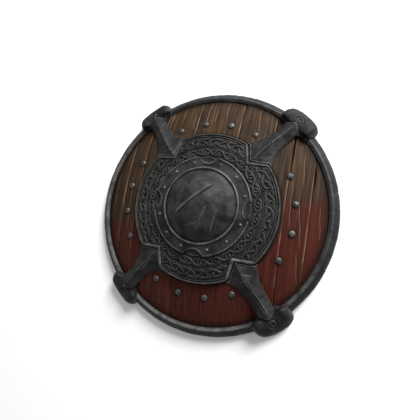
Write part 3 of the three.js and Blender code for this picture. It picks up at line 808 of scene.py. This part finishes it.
def plate_relief(x, y):
    """Height above the plate's sheet of its border, its lines and its interlace."""
    radius, bearing = np.hypot(x, y), np.arctan2(y, x)
    carved = carved_bands(radius, bearing)
    line = ridge(radius - LINE_RADIUS, 1.3 * MM)
    carved = np.where(np.abs(radius - LINE_RADIUS) < 2.2 * MM, 0.85 * line, carved)
    cut = (STRAND_RISE + GROUND_DEPTH) * carved - GROUND_DEPTH
    chipped = 0.14 * MM * ripple(x, y, 9 * MM, 31)
    inside = to_border(x, y)
    at_notch = smooth_step(0, 5 * MM, PLATE_RADIUS - radius - inside)
    half_width = (2.3 + 1.5 * at_notch) * MM
    outer_bead = 2.9 * MM * ridge(inside - half_width, half_width)
    inner_bead = 1.9 * MM * (1 - at_notch) * ridge(inside - 7.6 * MM, 1.5 * MM)
    border = np.maximum(outer_bead, inner_bead) - 0.5 * MM
    return np.where(inside < 10 * MM, border, cut) + chipped


print("carving", round((STRAND_RISE + GROUND_DEPTH) / MM, 1), "mm from the ground to a strand's top")

# %% [markdown]
# ## The plate itself
#
# A flat profile is spun to a disc with very fine rings where the carving shows, and then bent: its
# outer rings are drawn in to the notched outline, and the relief is added on the face. The border
# stands highest, so cloth and hands rub it all over, and the carving only a little.

# %% Plate
PLATE_STEPS = 940
SHEET_BACK = 0.66  # the back of the sheet, as a share of the plate's height
fine_rings = np.linspace(FINE_FROM, PLATE_RADIUS, 88)
coarse_rings = np.linspace(PLATE_HOLE, FINE_FROM, 4)[:-1]
plate_profile = [(r, 1) for r in (*coarse_rings, *fine_rings)]
plate_profile += [(PLATE_RADIUS, 0.5), (PLATE_RADIUS, 0), (PLATE_RADIUS - 4 * MM, 0)]
plate_profile += [(r, SHEET_BACK) for r in (PLATE_RADIUS - 4.2 * MM, 140 * MM, FINE_FROM, PLATE_HOLE)]


def bend_plate(x, y, z):
    """z is 1 on the face, SHEET_BACK behind it and 0 at the foot of the turned-down edge."""
    radius, bearing = np.hypot(x, y), np.arctan2(y, x)
    share = np.clip((radius - FINE_FROM) / (PLATE_RADIUS - FINE_FROM), 0, 1)
    reach = np.minimum(radius, FINE_FROM) + share * (plate_edge(bearing) - FINE_FROM)
    px, py = reach * np.cos(bearing), reach * np.sin(bearing)
    relief = np.where(z > 0.99, plate_relief(px, py), 0)
    level = 0.5 * MM + z * (PLATE_TOP - 0.5 * MM)
    return px, py, face_height(reach) + level + relief


def rub_border(mesh):
    x, y, _ = vertex_places(mesh)
    inside = to_border(x, y)
    at_notch = smooth_step(0, 5 * MM, PLATE_RADIUS - np.hypot(x, y) - inside)
    band = smooth_step((5 + 3.5 * at_notch) * MM, (3.4 + 3 * at_notch) * MM, inside)
    lower = smooth_step(90 * MM, -60 * MM, y)
    rubbed = 0.4 + 0.25 * lower + 0.9 * at_notch * lower
    touch_up(mesh, "worn", rubbed * band * smooth_step(0, 1 * MM, inside), keep=0.48)


plate = spun_ring(plate_profile, PLATE_STEPS)
bend(plate, bend_plate)
plate_piece = make_piece(plate, "carved_plate", IRON_PLATE, ["plate"], spread=1, smooth_angle=60)
rub_border(plate_piece.data)


# %% [markdown]
# ## The boss
#
# The boss was raised from one disc of iron over a stake. Its flange has four round bites, a thin
# lip that follows its outline, and a heavy bead at the foot of the dome. Blades have left one long
# gash on the dome and several thin scratches. The whole profile is spun, front and back, so that
# it is hollow with a true wall, and the flange's radius is then drawn in where the bites are.

# %% Boss
BOSS_RADIUS = 84 * MM
BOSS_RISE = 36 * MM
BOSS_WALL = 2.5 * MM
FLANGE_START = 93 * MM  # outside the bead at the foot of the dome
FLANGE_RADIUS = 117 * MM
FLANGE_TOP = 12.6 * MM
BITE_RADIUS = 27 * MM
BITE_DISTANCE = 128 * MM
SPHERE_RADIUS = (BOSS_RADIUS ** 2 + BOSS_RISE ** 2) / (2 * BOSS_RISE)
SPHERE_BASE = face_height(BOSS_RADIUS) + FLANGE_TOP + 0.5 * MM
SPHERE_CENTRE = SPHERE_BASE + BOSS_RISE - SPHERE_RADIUS
BOSS_CUTS = [
    ((-49, -30), (31, 48), 8.4, 3.0), ((-18, -1), (28, 45), 6.6, 2.6), ((26, 1), (12, -37), 3.4, 0.95),
    ((13, -36), (-24, -54), 2.2, 0.7), ((3, -38), (10, -62), 2.0, 0.6), ((17, -38), (5, -56), 2.0, 0.5),
    ((48, -4), (38, -56), 3.6, 0.95), ((53, -10), (46, -52), 2.6, 1.1), ((-22, 50), (-4, 62), 1.8, 0.4),
    ((-48, 8), (-36, 30), 1.8, 0.4),
]
BOSS_STEPS = 480


def dome_profile(radius, foot, steps):
    """The arc of the dome from its top to its foot."""
    sweep = math.asin(foot / radius)
    turns = np.linspace(0, sweep, steps)
    return [(radius * math.sin(turn), SPHERE_CENTRE + radius * math.cos(turn)) for turn in turns]


def on_flange(radius, lift):
    return radius, face_height(radius) + lift


boss_profile = dome_profile(SPHERE_RADIUS, BOSS_RADIUS - 0.6 * MM, 96)
boss_profile += [on_flange(BOSS_RADIUS + r * MM, FLANGE_TOP + z * MM) for r, z in (
    (-0.2, -0.1), (0.5, 0.5), (1.2, 2.4), (2.6, 3.8), (4.1, 4.1), (5.6, 3.5), (6.7, 2.0), (7.2, 0.5),
    (8.2, 0.1))]
boss_profile += [on_flange(r * MM, FLANGE_TOP) for r in (95, 98.5, 102, 105.5, 109, 111.8)]
boss_profile += [on_flange(r * MM, FLANGE_TOP + z * MM) for r, z in (
    (112.8, 0.2), (113.4, 1.3), (114.6, 1.8), (115.9, 1.7), (116.8, 0.9), (117, -0.4), (117, -2.6))]
boss_profile += [on_flange(r * MM, PLATE_TOP + 0.6 * MM) for r in (116.4, 106, 95, 84)]
boss_profile += dome_profile(SPHERE_RADIUS - BOSS_WALL, BOSS_RADIUS - BOSS_WALL, 30)[::-1]


def flange_edge(bearing):
    """The flange's outline with its four bites, as its distance from the middle."""
    off_axis = np.mod(bearing + math.pi / 4, math.pi / 2) - math.pi / 4
    square = BITE_RADIUS ** 2 - (BITE_DISTANCE * np.sin(off_axis)) ** 2
    bite = BITE_DISTANCE * np.cos(off_axis) - np.sqrt(np.maximum(square, 0))
    return np.where(square > 0, np.minimum(bite, FLANGE_RADIUS), FLANGE_RADIUS)


def bend_boss(x, y, z):
    radius, bearing = np.hypot(x, y), np.arctan2(y, x)
    lift = z - face_height(radius)
    lip = FLANGE_RADIUS - 5 * MM
    share = np.clip((radius - FLANGE_START) / (lip - FLANGE_START), 0, 1)
    drawn_in = flange_edge(bearing) - FLANGE_RADIUS
    reach = radius + share * drawn_in
    px, py = reach * np.cos(bearing), reach * np.sin(bearing)
    outer = np.hypot(reach, z - SPHERE_CENTRE) > SPHERE_RADIUS - 0.5 * BOSS_WALL
    dome = (radius < BOSS_RADIUS - 1 * MM) & outer
    beaten = 0.35 * MM * (0.6 + 0.4 * ripple(px, py, 22 * MM, 71))
    sink = np.where(dome, cut_depth(px, py, BOSS_CUTS) + beaten, 0)
    return px, py, np.where(radius > FLANGE_START, face_height(reach) + lift, z) - sink


boss = spun_ring(boss_profile, BOSS_STEPS, closed=False)
bend(boss, bend_boss)
boss_piece = make_piece(boss, "boss_dome_and_flange", IRON_BOSS, ["boss"])
mark_cuts(boss_piece.data, BOSS_CUTS)


# %% [markdown]
# ## Pieces that stand on the dome
#
# Arms and clamps are shaped once, pointing along X, and turned to their bearings. Rivets are spun
# upright at the origin and need a matrix that moves them out, tips them square to the dome and
# turns them. A rivet runs through plate and board and is clenched over a washer behind.

# %% Turning, seating and rivet shapes
def turned(place, bearing):
    """The same bending, then a turn about the shield's middle."""
    def place_and_turn(x, y, z):
        px, py, pz = place(x, y, z)
        cos, sin = math.cos(bearing), math.sin(bearing)
        return px * cos - py * sin, px * sin + py * cos, pz
    return place_and_turn


def on_dome(radius, bearing, lift=0.0):
    """A matrix that stands +Z square on the dome's face."""
    slope = math.atan(2 * DOME_RISE * radius / SHIELD_RADIUS ** 2)
    turn = Matrix.Rotation(bearing, 4, "Z") @ Matrix.Rotation(slope, 4, "Y")
    seat = Vector((radius * math.cos(bearing), radius * math.sin(bearing), face_height(radius) + lift))
    return Matrix.Translation(seat) @ turn


def rivet_profile(head, rise, shank, grip, washer):
    """Half of a rivet: a domed head, its shank, and a washer under the clenched end."""
    back = -grip - 0.4 * MM
    dome = [(head * math.sin(t), 0.4 * MM + rise * math.cos(t)) for t in np.linspace(0.02, math.pi / 2, 8)]
    return [(0, 0.4 * MM + rise)] + dome + [
        (head * 0.97, 0.1 * MM), (shank, 0), (shank, back), (washer * 0.92, back), (washer, back - 0.5 * MM),
        (washer * 0.94, back - 1.4 * MM), (shank * 1.5, back - 1.5 * MM), (shank * 1.3, back - 2.8 * MM),
        (shank * 0.7, back - 3.4 * MM), (0, back - 3.6 * MM)]


def turn_back(x, y, bearing):
    """Distance out along a bearing, and to its left."""
    cos, sin = math.cos(bearing), math.sin(bearing)
    return x * cos + y * sin, y * cos - x * sin


lean = math.degrees(on_dome(SHIELD_RADIUS / 2, 0).to_euler().y)
print("a rivet half way out leans", round(lean, 1), "degrees")

# %% [markdown]
# ## The arms
#
# Each arm was forged with a ridge down its middle, so that it stands like a small roof. The root is
# cut to a V that faces the plate's notch and flares to meet the plate's circle. The nose
# narrows, lifts over the clamp and ends in a blunt point, rubbed because it stands highest. One
# slab is bent four times, once to each bearing, with different nicks, and the stud that holds it
# is spun and set behind the board. The upper fittings, which face the lamp, are given painted shade.

# %% Arms
ARM_ROOT = 149.8 * MM
ARM_ROOT_HALF = 42 * MM
ARM_ROOT_CLEARANCE = 2.4 * MM
ARM_HALF = 20.5 * MM
ARM_NOSE = 290 * MM
ARM_NOSE_SEAT = RIM_PLANE + 25 * MM
ARM_EDGE = 4 * MM
NOSE_TAPER = 12 * MM  # how far the nose's corners lie behind its point
STUD_OUT = 229 * MM
# Cuts on each arm: distance out and to the left at both ends, then width and depth.
ARM_CUTS = {
    "upper_right": [((226, 21), (209, -8), 4.2, 3.0), ((212, -6), (206, -19), 2.6, 1.6)],
    "upper_left": [((240, -6), (232, 10), 2.0, 0.8), ((262, 2), (270, 12), 2.4, 0.9)],
    "lower_left": [((214, 10), (222, -4), 2.0, 0.8), ((176, 3), (214, 6), 2.2, 0.8)],
    "lower_right": [((180, 1), (229, 1), 4.6, 2.6), ((223, -1), (281, 1), 6.0, 3.2),
                    ((190, -16), (197, 6), 2.2, 0.9), ((182, 4), (190, 16), 2.0, 0.8)],
}
# Painted shade: the upper fittings, which face the lamp, are darkened with the soot colour, the upper right
# most.
PAINTED_SHADE_ON_FITTINGS = {"upper_right": 0.5, "upper_left": 0.25, "lower_left": 0.0, "lower_right": 0.0}


def arm_place(x, y, z, cuts, seed):
    """Bends a unit slab into an arm that points along +X, with its finest cells at the sides."""
    along, side = (x + 1) / 2, 1 - (1 - np.abs(y)) ** 1.5
    y = np.sign(y) * side
    flare = (ARM_ROOT_HALF - ARM_HALF) * (1 - along) ** 4
    half = ARM_HALF + flare - 2 * MM * along ** 6
    root_side = ARM_ROOT_HALF * side
    notch_line = ARM_ROOT + root_side / math.tan(NOTCH_HALF_ANGLE)
    plate_circle = np.sqrt((PLATE_RADIUS + ARM_ROOT_CLEARANCE) ** 2 - root_side ** 2)
    start = np.minimum(notch_line, plate_circle)
    end = ARM_NOSE - NOSE_TAPER * side ** 1.3
    out = start + along * (end - start)
    across = y * half
    on_wood = face_height(np.hypot(out, across)) + 0.4 * MM
    under = np.maximum(on_wood, ARM_NOSE_SEAT)
    crest = 8 * MM + 10 * MM * np.sin(math.pi * along)
    roof = ARM_EDGE + (crest - ARM_EDGE) * np.clip(1 - np.hypot(side, 0.035), 0, 1) ** 1.12
    rounding = 1.8 * MM * (1 - np.sqrt(1 - np.clip((side - 0.93) / 0.07, 0, 1) ** 2))
    from_root, from_nose = out - start, end - out
    lip = 1.0 * MM * np.sqrt(np.clip(1 - ((from_root - 1.8 * MM) / (1.8 * MM)) ** 2, 0, 1))
    channel = 0.8 * MM * np.clip(1 - np.abs(from_root - 4.6 * MM) / (1.4 * MM), 0, 1)
    blunt = 3.2 * MM * np.clip(1 - from_nose / (5 * MM), 0, 1) ** 2
    cut = cut_depth(out, across, cuts)
    beaten = 0.3 * MM * ripple(out, across, 18 * MM, seed)
    top = roof - rounding + lip - channel - blunt - cut + beaten
    return out, across, under + z * top


def rub_nose(mesh, bearing):
    x, y, z = vertex_places(mesh)
    out, across = turn_back(x, y, bearing)
    from_nose = ARM_NOSE - NOSE_TAPER * (np.abs(across) / ARM_HALF) ** 1.3 - out
    high = z > ARM_NOSE_SEAT + 1 * MM
    touch_up(mesh, "worn", 1.4 * smooth_step(3.2 * MM, 1.6 * MM, from_nose) * high)


for number, (name, bearing) in enumerate(ARM_BEARINGS.items()):
    bm = unit_slab(110, 56)
    bend(bm, turned(lambda x, y, z: arm_place(x, y, z, ARM_CUTS[name], 40 + number), bearing))
    stud = spun_ring(rivet_profile(4 * MM, 4 * MM, 3 * MM, 11.5 * MM, 8 * MM), 24, closed=False)
    stud.transform(on_dome(STUD_OUT, bearing))
    stud_mesh = bpy.data.meshes.new("stud")
    stud.to_mesh(stud_mesh)
    stud.free()
    bm.from_mesh(stud_mesh)
    bpy.data.meshes.remove(stud_mesh)
    arm = make_piece(bm, f"ridged_arm_{name}", IRON_ARMS, [f"arm_{name}"])
    mark_cuts(arm.data, ARM_CUTS[name], lambda x, y: turn_back(x, y, bearing))
    rub_nose(arm.data, bearing)
    # Painted shade on the upper arms.
    touch_up(arm.data, "deep", 0.4 * PAINTED_SHADE_ON_FITTINGS[name])


# %% [markdown]
# ## The clamps
#
# A clamp is a strap of iron, closed round the rim while hot. It starts on the wood beneath the
# arm's nose, rises over the crest, swells into a rounded lobe on either side, bulges out past the
# rim and comes back underneath to a flat foot. Its section is a handful of stations, and a smooth
# curve through them gives as many rows as the mesh needs.

# %% Clamps
CLAMP_HALF = 49 * MM
# Each station of the section: radius, height, direction outwards, and the shares of the
# half width, the bulge and the lobes there.
CLAMP_STATIONS = np.array([
    (271, 14.6, 0, 1, 0.47, 0, 0),
    (280, 12.8, 0, 1, 0.72, 0, 0.25),
    (288, 16, 0, 1, 0.98, 0, 1),
    (300, 7.4, 0.6, 0.8, 1, 0.55, 0.6),
    (305, 0, 1, 0, 0.97, 1, 0),
    (303, -6, 0.9, -0.4, 0.95, 0.75, 0),
    (294, -9, 0, -1, 0.92, 0, 0),
    (281, -5, 0, -1, 0.8, 0, 0),
])


def through_stations(share):
    """The section at a share of its length, on a smooth curve through the stations."""
    last = len(CLAMP_STATIONS) - 1
    at = share * last
    index = np.clip(np.floor(at).astype(int), 0, last - 1)
    t = (at - index)[:, None]
    before, a = CLAMP_STATIONS[np.maximum(index - 1, 0)], CLAMP_STATIONS[index]
    b, after = CLAMP_STATIONS[index + 1], CLAMP_STATIONS[np.minimum(index + 2, last)]
    return (0.5 * ((2 * a) + (b - before) * t + (2 * before - 5 * a + 4 * b - after) * t ** 2
                   + (3 * a - before - 3 * b + after) * t ** 3)).T


RIVET_OUT = 302 * MM
RIVET_UP = 19.5 * MM
RIVET_TILT = math.radians(22)


def clamp_place(x, y, z, seed):
    """Bends a unit slab into a clamp on the rim at bearing 0."""
    share = (x + 1) / 2
    radius, height, out_r, out_z, width, bulge, lobe = through_stations(share)
    bearing = y * width * CLAMP_HALF / SHIELD_RADIUS
    swell = 15 * bulge * (1 - y ** 4) + 7 * lobe * np.sin(math.pi * y ** 2) ** 2
    rounded = 1 - 0.7 * np.clip((np.abs(y) - 0.92) / 0.08, 0, 1) ** 2
    beaten = 0.35 * ripple(share * 0.09, y * 0.05, 0.016, seed)
    reach = 0.6 + z * ((6 + swell) * rounded + beaten)
    px, pz = (radius + out_r * reach) * MM, RIM_PLANE + (height + out_z * reach) * MM
    foot = smooth_step(0.8, 0.86, share) * z
    pz = pz * (1 - foot)
    near_rivet = np.hypot((px - RIVET_OUT) / math.cos(RIVET_TILT), px * bearing)
    normal_gap = (px - RIVET_OUT) * math.sin(RIVET_TILT) + (pz - RIM_PLANE - RIVET_UP) * math.cos(RIVET_TILT)
    seat = z * (1 - smooth_step(9 * MM, 14 * MM, near_rivet)) * np.clip(normal_gap, -4 * MM, 4 * MM)
    px, pz = px - seat * math.sin(RIVET_TILT), pz - seat * math.cos(RIVET_TILT)
    return px * np.cos(bearing), px * np.sin(bearing), np.maximum(pz, 0)


for number, (name, bearing) in enumerate(ARM_BEARINGS.items()):
    bm = unit_slab(120, 90)
    bend(bm, turned(lambda x, y, z: clamp_place(x, y, z, 60 + number), bearing))
    clamp = make_piece(bm, f"folded_clamp_{name}", IRON_CLAMPS, [f"clamp_{name}"], spread=3)
    x, y, z = vertex_places(clamp.data)
    _, across = turn_back(x, y, bearing)
    ends = smooth_step(40 * MM, 46 * MM, np.abs(across)) * smooth_step(RIM_PLANE, RIM_PLANE + 12 * MM, z)
    touch_up(clamp.data, "worn", 0.9 * ends)
    # Painted shade on the upper clamps.
    touch_up(clamp.data, "deep", PAINTED_SHADE_ON_FITTINGS[name])


# %% [markdown]
# ## The rivets
#
# Every rivet is spun from its own half section and then stood square on the dome. Small dents,
# different on each, come from the hammer that set it. The clamps' rivets are hollow-headed, with
# a raised ring.

# %% Rivets
BOARD_RIVET = rivet_profile(7.5 * MM, 4.2 * MM, 3 * MM, 11.5 * MM, 8 * MM)
BOSS_RIVET = rivet_profile(3.8 * MM, 2.4 * MM, 2 * MM, 24 * MM, 6 * MM)
BATTEN_RIVET = rivet_profile(6 * MM, 3 * MM, 2.5 * MM, 25 * MM, 7 * MM)
BOSS_RIVET_CIRCLE = 103 * MM
RING_RIVET = [(r * MM, z * MM) for r, z in (
    (0, 0.75), (1.8, 0.6), (3.4, 0.8), (4.2, 1.3), (4.8, 2.1), (5.5, 2.4), (6.3, 2.3), (7.1, 1.8), (7.8, 0.9),
    (8.0, 0.4), (3.5, 0.3), (3.5, -17), (0, -17))]


def set_rivet(name, profile, matrix, node, seed, sides=28, material=IRON_RIVET):
    bm = spun_ring(profile, sides, closed=False)
    bend(bm, lambda x, y, z: (x, y, z - np.where(z > 0, 0.25 * MM * (1 + ripple(x, y, 6 * MM, seed)), 0)))
    bm.transform(matrix)
    make_piece(bm, name, material, [node], spread=1)


for number in range(16):
    quarter, offset = divmod(number, 4)
    matrix = on_dome(BOARD_RIVET_CIRCLE, math.radians(90 * quarter + (-27, -9, 9, 27)[offset]))
    node = f"board_rivet_{number + 1:02d}"
    set_rivet(f"domed_rivet_{number + 1:02d}", BOARD_RIVET, matrix, node, 100 + number)

for number in range(12):
    quarter, offset = divmod(number, 3)
    matrix = on_dome(BOSS_RIVET_CIRCLE, math.radians(90 * quarter + 45 + (-27, 0, 27)[offset]), FLANGE_TOP)
    node = f"boss_rivet_{number + 1:02d}"
    set_rivet(f"flange_rivet_{number + 1:02d}", BOSS_RIVET, matrix, node, 130 + number, 20)

for number, x in enumerate((-160, -95, 95, 160)):
    matrix = on_dome(abs(x) * MM, 0 if x > 0 else math.pi)
    node = f"batten_rivet_{number + 1:02d}"
    set_rivet(f"batten_pin_{number + 1:02d}", BATTEN_RIVET, matrix, node, 150 + number, 20)

for number, (name, bearing) in enumerate(ARM_BEARINGS.items()):
    seat = Vector((RIVET_OUT * math.cos(bearing), RIVET_OUT * math.sin(bearing), RIM_PLANE + RIVET_UP))
    tilt = Matrix.Rotation(bearing, 4, "Z") @ Matrix.Rotation(RIVET_TILT, 4, "Y")
    matrix = Matrix.Translation(seat) @ tilt
    set_rivet(f"ring_rivet_{name}", RING_RIVET, matrix, f"clamp_rivet_{name}", 160 + number, 32, IRON_CLAMPS)


# %% [markdown]
# ## The grip batten
#
# Behind the boards one bar of ash ties them together. Over the hand hole it is the grip, so
# it is rounded there and rubbed smooth. It follows the inside of the dome.

# %% Batten
BATTEN_HALF_LENGTH = 262 * MM
BATTEN_HALF_WIDTH = 17 * MM


def batten_place(x, y, z):
    out = x * BATTEN_HALF_LENGTH
    thickness = 14 * MM - 5 * MM * x ** 2
    in_hand = 1 - smooth_step(50 * MM, 80 * MM, np.abs(out))
    half = BATTEN_HALF_WIDTH - (1 - z) * (2 + 2 * in_hand) * MM
    across = y * half
    top = face_height(np.hypot(out, across)) - BOARD_THICKNESS - 1.5 * MM
    rounding = (1.2 + 4 * in_hand) * MM * np.abs(y) ** 3
    return out, across, top - (1 - z) * (thickness - rounding) - z * rounding * in_hand * 0.6


bm = unit_slab(150, 16)
bend(bm, batten_place)
soften(bm, 1.5 * MM, math.radians(50))
batten = make_piece(bm, "ash_grip_batten", ASH_GRIP, ["grip_batten"])
store(batten.data, "tone", np.ones(len(batten.data.vertices)))


# %% [markdown]
# ## Floor and light
#
# The shield lies on a plain pale floor. A large soft lamp stands to its upper right, beyond its
# head, which draws bright lines on every slope that faces that way. A weak one at lower left and
# the pale surroundings keep the far slopes from going black.

# %% Stage
FLOOR_HALF = 4.0


def pale_floor():
    material, node = new_material("matt_white_floor")
    cloud = node("TexNoise", {"Vector": node("TexCoord"), "Scale": 2.0, "Detail": 2})
    shade = node("Mix", {0: cloud, MIX_A: linear("e8e8e8"), MIX_B: linear("ececec")})
    shader = node("BsdfPrincipled", {"Base Color": shade, "Roughness": 0.9})
    node("OutputMaterial", {"Surface": shader})
    bm = bmesh.new()
    bmesh.ops.create_grid(bm, x_segments=2, y_segments=2, size=FLOOR_HALF)
    bmesh.ops.translate(bm, vec=(0, 0, -0.2 * MM), verts=bm.verts)
    mesh = bpy.data.meshes.new("floor")
    bm.to_mesh(mesh)
    bm.free()
    mesh.materials.append(material)
    floor = bpy.data.objects.new("floor", mesh)
    bpy.context.scene.collection.objects.link(floor)


def add_lamp(name, place, size, power):
    lamp = bpy.data.lights.new(name, "AREA")
    lamp.size = size
    lamp.energy = power
    held = bpy.data.objects.new(name, lamp)
    held.location = place
    held.rotation_euler = (-Vector(place)).to_track_quat("-Z", "Y").to_euler()
    bpy.context.scene.collection.objects.link(held)


pale_floor()
add_lamp("key_lamp", (1.6, 2.9, 1.95), 1.9, 350)
add_lamp("fill_lamp", (-1.6, -1.2, 1.8), 2.0, 8)

world = bpy.data.worlds.new("studio")
world.use_nodes = True
background = world.node_tree.nodes["Background"]
background.inputs["Color"].default_value = (1, 1, 1, 1)
background.inputs["Strength"].default_value = 0.37
bpy.context.scene.world = world
bpy.context.scene.view_settings.view_transform = "Standard"

# %% [markdown]
# ## Camera
#
# The camera looks down from a little to the right, at about eighteen degrees from straight above,
# through a wide lens held close. That makes the near side larger, as the eye sees it from there.

# %% Camera
CAMERA_TURN = Euler([math.radians(a) for a in (8.15, 16.36, 9.51)])
CAMERA_DISTANCE = 2.51 * SHIELD_RADIUS
CAMERA_AIM = Vector((1.4 * MM, -0.4 * MM, RIM_PLANE))
FIELD_OF_VIEW = math.radians(69.2)

lens = bpy.data.cameras.new("camera")
lens.angle = FIELD_OF_VIEW
camera = bpy.data.objects.new("camera", lens)
camera.rotation_euler = CAMERA_TURN
camera.location = CAMERA_AIM + CAMERA_TURN.to_matrix() @ Vector((0, 0, CAMERA_DISTANCE))
bpy.context.scene.collection.objects.link(camera)
bpy.context.scene.camera = camera
print("camera at", [round(v, 3) for v in camera.location])
